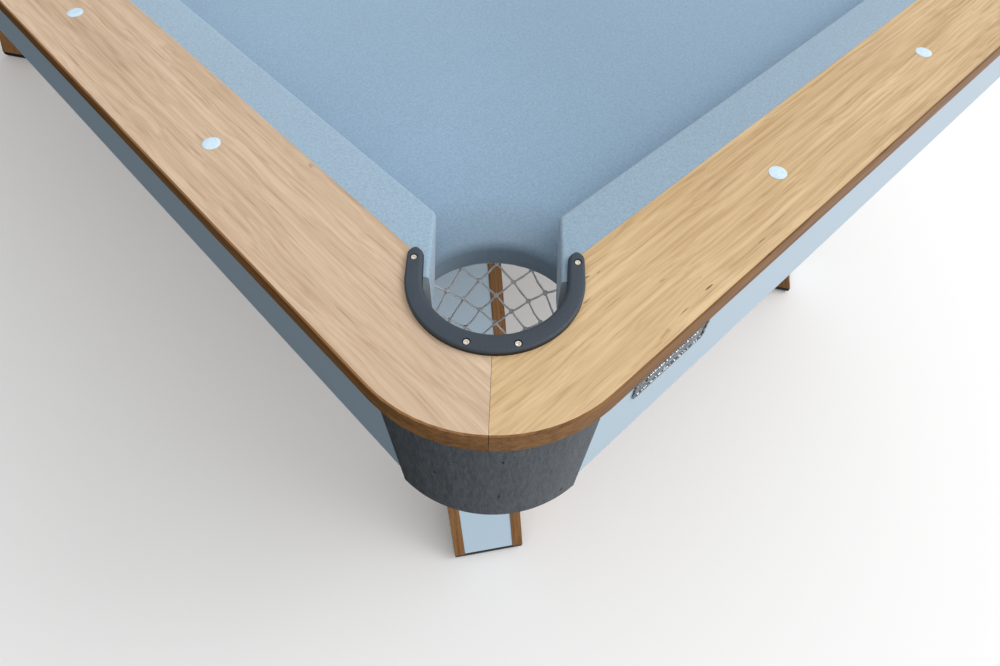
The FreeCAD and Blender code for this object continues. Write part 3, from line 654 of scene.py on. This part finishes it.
pick(cloth, hidden_side)
bpy.ops.mesh.delete(type="FACE")
bpy.ops.object.mode_set(mode="OBJECT")
apply_modifier(cloth, "SOLIDIFY", thickness=CLOTH_T * 0.9, offset=-1.0)
only(cloth)
bpy.ops.object.shade_smooth_by_angle(angle=math.radians(35))
finish_piece(cloth, "bed_cloth_skin", bed_felt, "table", ["bed_cloth"])
print("cloth", len(cloth.data.polygons), "faces")

# %% [markdown]
# ## Cushions
# A cushion is a rubber bar covered in the same cloth, though its colour is set lighter and greyer
# than the bed's: painted light, for the same cloth lit at another angle. Its front leans out from
# the bed to the nose, the two ends are cut for the pocket jaws, and the cloth rounds every visible edge.
# A box of the bar's size is cut by three flat planes and its visible edges are bevelled round.
# At a corner pocket a thin covered strip carries the jaw on behind the rail line, into the
# throat. It is a separate bar joined to the cushion, with its own rounded edges.

# %% Cushions
NOSE_BELOW_TOP = 0.0065
FOOT_WIDTH = 0.008
SIDE_JAW_SLOPE = 12.0 / 35.0
NOSE_ROUND = 0.0028
RAIL_WIDTH, JAW_END = 0.088, 0.150
STRIP_FROM, STRIP_TO = 0.001, 0.021
STRIP_IN, STRIP_OUT = 0.0439, 0.0498
STRIP_DROP = 0.0001


def slice_off(piece, point, normal):
    """Remove the part of a closed piece beyond a plane and close the cut."""
    only(piece)
    bpy.ops.object.mode_set(mode="EDIT")
    bpy.ops.mesh.select_all(action="SELECT")
    bpy.ops.mesh.bisect(plane_co=point, plane_no=normal, use_fill=True, clear_outer=True)
    bpy.ops.object.mode_set(mode="OBJECT")


def bar_box(node, is_end):
    """The box of a cushion's bar without the strips at its ends."""
    inner_x = cad_high.x - (JAW_END if is_end else RAIL_WIDTH)
    inner_y = cad_high.y - (RAIL_WIDTH if is_end else JAW_END)
    low, high = [Vector(end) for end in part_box(node)]
    for end in (low, high):
        end.x = max(-inner_x, min(inner_x, end.x))
        end.y = max(-inner_y, min(inner_y, end.y))
    return low, high


def facing_strip(spot, to_cushion, low_z, high_z):
    """A thin upright bar that runs from beside a pocket's middle into the cushion's end."""
    out = Vector((-spot.x / abs(spot.x), -spot.y / abs(spot.y), 0)).normalized()
    aside = (to_cushion - out * to_cushion.dot(out)).normalized()
    strip = cutter_box((STRIP_FROM, STRIP_IN, low_z), (STRIP_TO, STRIP_OUT, high_z))
    place_at_origin(strip)
    pick(strip, lambda edge: all(e.z > high_z - 1e-5 and e.y < STRIP_IN + 1e-5
                                 for e in edge_ends(strip, edge)), "EDGE")
    bpy.ops.mesh.bevel(offset=NOSE_ROUND, segments=5, affect="EDGES", clamp_overlap=True)
    bpy.ops.object.mode_set(mode="OBJECT")
    if out.cross(aside).z < 0:
        strip.scale.y = -1
    strip.location = (spot.x, spot.y, 0)
    strip.rotation_euler = (0, 0, math.atan2(out.y, out.x))
    place_at_origin(strip)
    only(strip)
    bpy.ops.object.mode_set(mode="EDIT")
    bpy.ops.mesh.select_all(action="SELECT")
    bpy.ops.mesh.normals_make_consistent(inside=False)
    bpy.ops.object.mode_set(mode="OBJECT")
    return strip


def cushion(rail):
    node = "cushion_" + rail
    is_end = rail in ("front", "back")
    low, high = bar_box(node, is_end)
    middle = (low + high) / 2
    across, along = (Vector((0, 1, 0)), Vector((1, 0, 0))) if is_end else (Vector((1, 0, 0)), Vector((0, 1, 0)))
    inwards = across * (-1 if middle.dot(across) > 0 else 1)
    back = middle - inwards * (high - low).dot(across) / 2
    nose = middle + inwards * (high - low).dot(across) / 2
    bar = cutter_box(low, high)
    place_at_origin(bar)
    under = Vector((nose.x, nose.y, high.z - NOSE_BELOW_TOP))
    toe = Vector((back.x, back.y, low.z)) + inwards * FOOT_WIDTH
    slope = (under - toe).normalized()
    slice_off(bar, under, along.cross(slope) * math.copysign(1, along.cross(slope).dot(inwards)))
    for end in (-1, 1):
        corner = back + along * (end * (high - low).dot(along) / 2)
        at_side_pocket = not is_end and abs(corner.y) < 0.2
        lean = SIDE_JAW_SLOPE if at_side_pocket else 1.0
        slice_off(bar, corner, (along * end + inwards * lean).normalized())

    def visible_edge(edge):
        ends = edge_ends(bar, edge)
        at_back = all(abs((e - back).dot(inwards)) < 1e-4 for e in ends)
        at_foot = all(e.z < low.z + 1e-4 for e in ends)
        return not at_back and not at_foot

    pick(bar, visible_edge, "EDGE")
    bpy.ops.mesh.bevel(offset=NOSE_ROUND, segments=5, affect="EDGES", clamp_overlap=True)
    bpy.ops.object.mode_set(mode="OBJECT")
    for name in CORNERS:
        spot = pockets[name][0]
        if min((spot.xy - end.xy).length for end in (low, high)) < 0.12 and (middle - spot).dot(inwards) < 0.2:
            strip = facing_strip(spot, middle - spot, low.z + 0.001, high.z - STRIP_DROP)
            apply_modifier(bar, "BOOLEAN", operation="UNION", object=strip, solver="EXACT")
            bpy.data.objects.remove(strip)
    only(bar)
    bpy.ops.object.shade_smooth_by_angle(angle=math.radians(40))
    finish_piece(bar, node + "_covered", cushion_felt_painted_light, "table", [node])


for rail in RAILS:
    cushion(rail)
print("cushions done")

# %% [markdown]
# ## Sights
# Each sight is a pearl disc let into the rail, very slightly domed. One is a cylinder whose
# upper rim is bevelled and whose middle is lifted a little. The rest are copies.

# %% Sights
sight_low, sight_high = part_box("sights")
SIGHT_R = 0.007
SIGHT_IN = 0.043
SHORT_SIGHT, LONG_SIGHT, LONG_STEP = 0.338, 0.354, 0.23367


def sight_spots():
    spots = []
    for y in (-1, 1):
        for x in (-1, 0, 1):
            spots.append((x * (cad_high.x - SHORT_SIGHT), y * (cad_high.y - SIGHT_IN)))
    for x in (-1, 1):
        for y in (-1, 1):
            for step in range(3):
                spots.append((x * (cad_high.x - SIGHT_IN), y * (cad_high.y - LONG_SIGHT - step * LONG_STEP)))
    return spots


def sight_disc(x, y):
    bpy.ops.mesh.primitive_cylinder_add(vertices=40, radius=SIGHT_R - 0.00005, depth=sight_high.z - sight_low.z,
                                        location=(x, y, (sight_low.z + sight_high.z) / 2))
    disc = bpy.context.object
    place_at_origin(disc)
    pick(disc, lambda face: face.normal.z > 0.9)
    bpy.ops.mesh.inset(thickness=0.0006, depth=0.00012)
    bpy.ops.mesh.inset(thickness=0.003, depth=0.00008)
    bpy.ops.object.mode_set(mode="OBJECT")
    only(disc)
    bpy.ops.object.shade_smooth_by_angle(angle=math.radians(50))
    return disc


discs = [sight_disc(x, y) for x, y in sight_spots()]
only(discs[0])
for disc in discs:
    disc.select_set(True)
bpy.ops.object.join()
finish_piece(discs[0], "sight_discs", sight_pearl, "table", ["sights"])

# %% [markdown]
# ## Pocket liners
# The liner is a grained moulding shaped like a horseshoe. Its section is flat below, with a
# small radius outside and a larger one where it rolls into the pocket. The section is spun
# half a turn round the pocket, pushed out along both arms, and each arm is closed with a
# rounded tip. A plain skirt hangs inside. Small wells are cut for the four screws.

# %% Pocket liners
LINER_IN, LINER_OUT, LINER_T = 0.046, 0.0595, 0.0045
LINER_MID = (LINER_IN + LINER_OUT) / 2
INNER_ROLL, OUTER_ROLL = 0.0030, 0.0016
SKIRT_DROP, SKIRT_T = 0.020, 0.004
ARMS = {"corner": (0.017, 0.0005, 0.014), "side": (0.004, 0.001, 0.002)}
SCREW_LINE = LINER_MID + 0.002
WELL_R, WELL_DEPTH = 0.0027, 0.0022
SPIN_STEPS = 60
TIP_STEPS = 6
TIP_TURN = 84.0
INNER_WIDEN, ARM_TAPER, FLARE = 1.035, 0.93, 0.001


def spun_section(y0, y1, z0, z1, corners=()):
    """A rectangle standing in the YZ plane with some corners rounded, spun half a turn through -X."""
    bpy.ops.mesh.primitive_plane_add(size=1, location=(0, (y0 + y1) / 2, (z0 + z1) / 2),
                                     rotation=(math.pi / 2, 0, math.pi / 2))
    piece = bpy.context.object
    piece.scale = (y1 - y0, z1 - z0, 1)
    place_at_origin(piece)
    for y, z, radius in corners:
        only(piece)
        for vertex in piece.data.vertices:
            vertex.select = abs(vertex.co.y - y) < 1e-5 and abs(vertex.co.z - z) < 1e-5
        for edge in piece.data.edges:
            edge.select = False
        for face in piece.data.polygons:
            face.select = False
        bpy.ops.object.mode_set(mode="EDIT")
        bpy.ops.mesh.select_mode(type="VERT")
        bpy.ops.mesh.bevel(offset=radius, segments=5, affect="VERTICES")
        bpy.ops.object.mode_set(mode="OBJECT")
    bpy.ops.object.mode_set(mode="EDIT")
    bpy.ops.mesh.select_all(action="SELECT")
    bpy.ops.mesh.spin(steps=SPIN_STEPS, angle=-math.pi, center=(0, 0, 0), axis=(0, 0, 1), use_auto_merge=False)
    bpy.ops.object.mode_set(mode="OBJECT")
    return piece


def pick_end(piece, side):
    """Select the open end of one arm."""
    reach = max(v.co.x for v in piece.data.vertices if v.co.y * side > 0)
    pick(piece, lambda f: f.center.y * side > 0 and abs(f.normal.x) > 0.99 and f.center.x > reach - 1e-5)


def push(piece, length, across=1.0, centre=0.0):
    """Extrude the selected end along +X and resize it across the arm about a line."""
    bpy.ops.mesh.extrude_region_move(TRANSFORM_OT_translate={"value": (length, 0, 0)})
    bpy.ops.transform.resize(value=(1, across, 1), center_override=(0, centre, 0))


def build_liner(kind):
    arm, skirt_arm, _ = ARMS[kind]
    top = RAIL_TOP + LINER_T
    flange = spun_section(LINER_IN, LINER_OUT, RAIL_TOP, top,
                          [(LINER_IN, top, INNER_ROLL), (LINER_OUT, top, OUTER_ROLL)])
    inner_edge = LINER_IN + INNER_ROLL + 0.0001
    only(flange)
    bpy.ops.object.mode_set(mode="EDIT")
    bpy.ops.mesh.select_all(action="DESELECT")
    bpy.ops.mesh.select_mode(type="VERT")
    bpy.ops.object.mode_set(mode="OBJECT")
    for vertex in flange.data.vertices:
        vertex.select = vertex.co.xy.length < inner_edge
    bpy.ops.object.mode_set(mode="EDIT")
    bpy.ops.transform.resize(value=(0.985, INNER_WIDEN, 1), center_override=(0, 0, 0))
    bpy.ops.object.mode_set(mode="OBJECT")
    tip_in = LINER_IN * INNER_WIDEN
    for side in (-1, 1):
        pick_end(flange, side)
        push(flange, arm, ARM_TAPER, side * (LINER_OUT + FLARE))
        tip_out = LINER_OUT + FLARE * (1 - ARM_TAPER)
        tip_mid = (tip_out + (LINER_OUT + FLARE) - (LINER_OUT + FLARE - tip_in) * ARM_TAPER) / 2
        half = tip_out - tip_mid
        width = 1.0
        for step in range(1, TIP_STEPS + 1):
            angle, before = [math.radians(TIP_TURN) * k / TIP_STEPS for k in (step, step - 1)]
            push(flange, half * (math.sin(angle) - math.sin(before)), math.cos(angle) / width, side * tip_mid)
            width = math.cos(angle)
        bpy.ops.object.mode_set(mode="OBJECT")
    skirt = spun_section(LINER_IN, LINER_IN + SKIRT_T, RAIL_TOP - SKIRT_DROP, RAIL_TOP + 0.001)
    for side in (-1, 1):
        pick_end(skirt, side)
        push(skirt, skirt_arm)
        bpy.ops.object.mode_set(mode="OBJECT")
    only(flange)
    skirt.select_set(True)
    bpy.ops.object.join()
    bpy.ops.object.mode_set(mode="EDIT")
    bpy.ops.mesh.select_all(action="SELECT")
    bpy.ops.mesh.remove_doubles(threshold=0.00001)
    bpy.ops.mesh.normals_make_consistent(inside=False)
    bpy.ops.object.mode_set(mode="OBJECT")
    return flange


def screw_points(kind):
    screw_arm = ARMS[kind][2]
    points = [(screw_arm, SCREW_LINE), (screw_arm, -SCREW_LINE)]
    for degrees in (163.0, 197.0):
        turn = math.radians(degrees)
        points.append((SCREW_LINE * math.cos(turn), SCREW_LINE * math.sin(turn)))
    return points


def at_pocket(pattern, name):
    """A copy of a piece made round the origin, put at a pocket with its own mesh."""
    spot, angle, _ = pockets[name]
    piece = bpy.data.objects.new(name, pattern.data.copy())
    bpy.context.scene.collection.objects.link(piece)
    piece.location = spot
    piece.rotation_euler = (0, 0, angle)
    place_at_origin(piece)
    return piece


liner_pattern = {}
for kind in ("corner", "side"):
    liner = build_liner(kind)
    top = RAIL_TOP + LINER_T
    for x, y in screw_points(kind):
        cut_away(liner, cutter_cylinder(Vector((x, y, 0)), WELL_R, top - WELL_DEPTH, top + 0.002, 24))
    only(liner)
    bpy.ops.object.shade_smooth_by_angle(angle=math.radians(40))
    liner_pattern[kind] = liner
for name in pockets:
    piece = at_pocket(liner_pattern["side" if name in SIDES else "corner"], name)
    finish_piece(piece, "liner_" + name, liner_grain, "table", ["pocket_liner_" + name])
for liner in liner_pattern.values():
    bpy.data.objects.remove(liner)
softened("liner_screws", screw_steel, 0.00012, 1)
print("liners done")

# %% [markdown]
# ## Nets
# Each net is knotted from one cord: rows of half-width steps make diamonds, a little wider at
# the ring and drawn together at the bottom. The knots are laid out as a lattice of points on
# the bag, the cords between them become thin tubes, and a small lump sits on every crossing.

# %% Nets
CORD_R = 0.0009
KNOT_R = 0.0023
NET_ROWS = 12
NET_LOOPS = {"corner": 15, "side": 12}
random.seed(7)


def bag_radius(depth, rim, low):
    """Radius of the bag from the ring, depth 0, to the bottom, depth 1."""
    straight = rim + (low - rim) * min(1.0, depth / 0.82)
    if depth <= 0.82:
        return straight
    return low * math.sqrt(max(0.0, 1.0 - ((depth - 0.82) / 0.18) ** 2)) * 0.86 + low * 0.14 * (1.0 - depth)


def net_lattice(loops, rim, low, top, bottom):
    """Knot places row by row, alternate rows turned by half a step."""
    rows = []
    for row in range(NET_ROWS):
        depth = row / (NET_ROWS - 1)
        radius = max(0.006, bag_radius(depth * 0.985, rim, low))
        height = top + (bottom - top) * depth
        ring = []
        for loop in range(loops):
            turn = math.tau * (loop + 0.5 * (row % 2)) / loops
            slip = 0.0 if row == 0 else random.uniform(-0.0012, 0.0012)
            ring.append(Vector((radius * math.cos(turn), radius * math.sin(turn), height + slip)))
        rows.append(ring)
    return rows


def build_net(kind):
    node = "pocket_net_front_left" if kind == "corner" else "pocket_net_side_left"
    low_box, high_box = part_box(node)
    rim = (high_box.x - low_box.x) / 2 - CORD_R - 0.0003
    low = rim - (0.008 if kind == "corner" else 0.004)
    rows = net_lattice(NET_LOOPS[kind], rim, low, high_box.z - 0.0012, low_box.z + KNOT_R + 0.0005)
    loops = NET_LOOPS[kind]
    points, edges = [], []
    for ring in rows:
        points += ring
    for row in range(NET_ROWS - 1):
        for loop in range(loops):
            here = row * loops + loop
            left = (row + 1) * loops + (loop - 1 + row % 2) % loops
            right = (row + 1) * loops + (loop + row % 2) % loops
            for there in (left, right):
                middle = (points[here] + points[there]) / 2
                bow = Vector((middle.x, middle.y, 0)).normalized() * random.uniform(-0.0012, 0.0002)
                points.append(middle + bow + Vector((0, 0, -0.0006)))
                edges += [(here, len(points) - 1), (len(points) - 1, there)]
    mesh = bpy.data.meshes.new("net_lines")
    mesh.from_pydata(points, edges, [])
    net = bpy.data.objects.new("net_lines", mesh)
    bpy.context.scene.collection.objects.link(net)
    only(net)
    bpy.ops.object.convert(target="CURVE")
    net = bpy.context.object
    net.data.bevel_depth = CORD_R
    net.data.bevel_resolution = 1
    net.data.use_fill_caps = True
    bpy.ops.object.convert(target="MESH")
    net = bpy.context.object
    bpy.ops.mesh.primitive_ico_sphere_add(subdivisions=2, radius=KNOT_R)
    knot = bpy.context.object
    knots = []
    for row, ring in enumerate(rows):
        for spot in ring[:1] if row == NET_ROWS - 1 else ring:
            copy = bpy.data.objects.new("knot", knot.data.copy())
            bpy.context.scene.collection.objects.link(copy)
            copy.location = spot
            copy.scale = (1.0, 1.0, random.uniform(0.75, 1.05))
            copy.rotation_euler = [random.uniform(0, 3) for _ in range(3)]
            if row == NET_ROWS - 1:
                copy.location = (0, 0, spot.z)
                copy.scale = (2.2, 2.2, 0.9)
                copy.rotation_euler = (0, 0, 0)
            knots.append(copy)
    bpy.data.objects.remove(knot)
    only(net)
    for copy in knots:
        copy.select_set(True)
    bpy.ops.object.join()
    place_at_origin(net)
    only(net)
    bpy.ops.object.shade_smooth()
    return net


net_pattern = {kind: build_net(kind) for kind in ("corner", "side")}
for name in pockets:
    piece = at_pocket(net_pattern["side" if name in SIDES else "corner"], name)
    finish_piece(piece, "net_" + name, net_cord, "table", ["pocket_net_" + name])
for net in net_pattern.values():
    bpy.data.objects.remove(net)
print("nets done")

# %% [markdown]
# ## Legs and feet
# Each leg is two oak side boards with a white panel let in between them, front and back. The
# grain of the sides has to lean with the leg, so its direction is worked out from the leg's own
# box: from the middle of the foot to the middle of the top. The foot plates are black rubber.


# %% Legs and feet
def leg_lean(corner):
    foot_low, foot_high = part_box("levelling_foot_" + corner)
    side_low, side_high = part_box("leg_sides_" + corner)
    foot = (foot_low + foot_high) / 2
    reach = Vector((side_high.x - side_low.x, side_high.y - side_low.y, 0))
    size = Vector((foot_high.x - foot_low.x, foot_high.y - foot_low.y, 0))
    run = reach - size
    lean = Vector((math.copysign(run.x, -foot.x), math.copysign(run.y, -foot.y), side_high.z - side_low.z))
    return tuple(lean.normalized())


for index, corner in enumerate(CORNERS):
    grain = leg_lean(corner)
    leg_oak = oak("oak_leg_" + corner, grain, (0.3 * index, 0.7, 0.2), *EDGE_OAK, EDGE_GLOSS)
    softened("leg_sides_" + corner, leg_oak, 0.0008)
    softened("leg_panels_" + corner, white_laminate, 0.0006)
    softened("levelling_foot_" + corner, black_rubber, 0.0008, body="foot_" + corner)

# %% [markdown]
# ## Under the bed
# The hidden boards keep their CAD shape and only need a fitting finish: raw fibreboard for the
# bed, sub-rails and leg plates, softwood for the beams, zinc for the rings, black for the clips.

# %% Plain CAD pieces
PLAIN = {"bed_board": fibreboard, "sub_rails_long": fibreboard, "sub_rails_end": fibreboard,
         "leg_mount_plates": fibreboard, "frame_long_beams": beam_wood["long"],
         "frame_cross_beams": beam_wood["cross"], "leg_base_blocks": beam_wood["cross"],
         "leg_top_blocks": beam_wood["cross"], "net_rings": zinc_wire, "net_clips": black_rubber}
for node, material in PLAIN.items():
    softened(node, material, 0.0005)
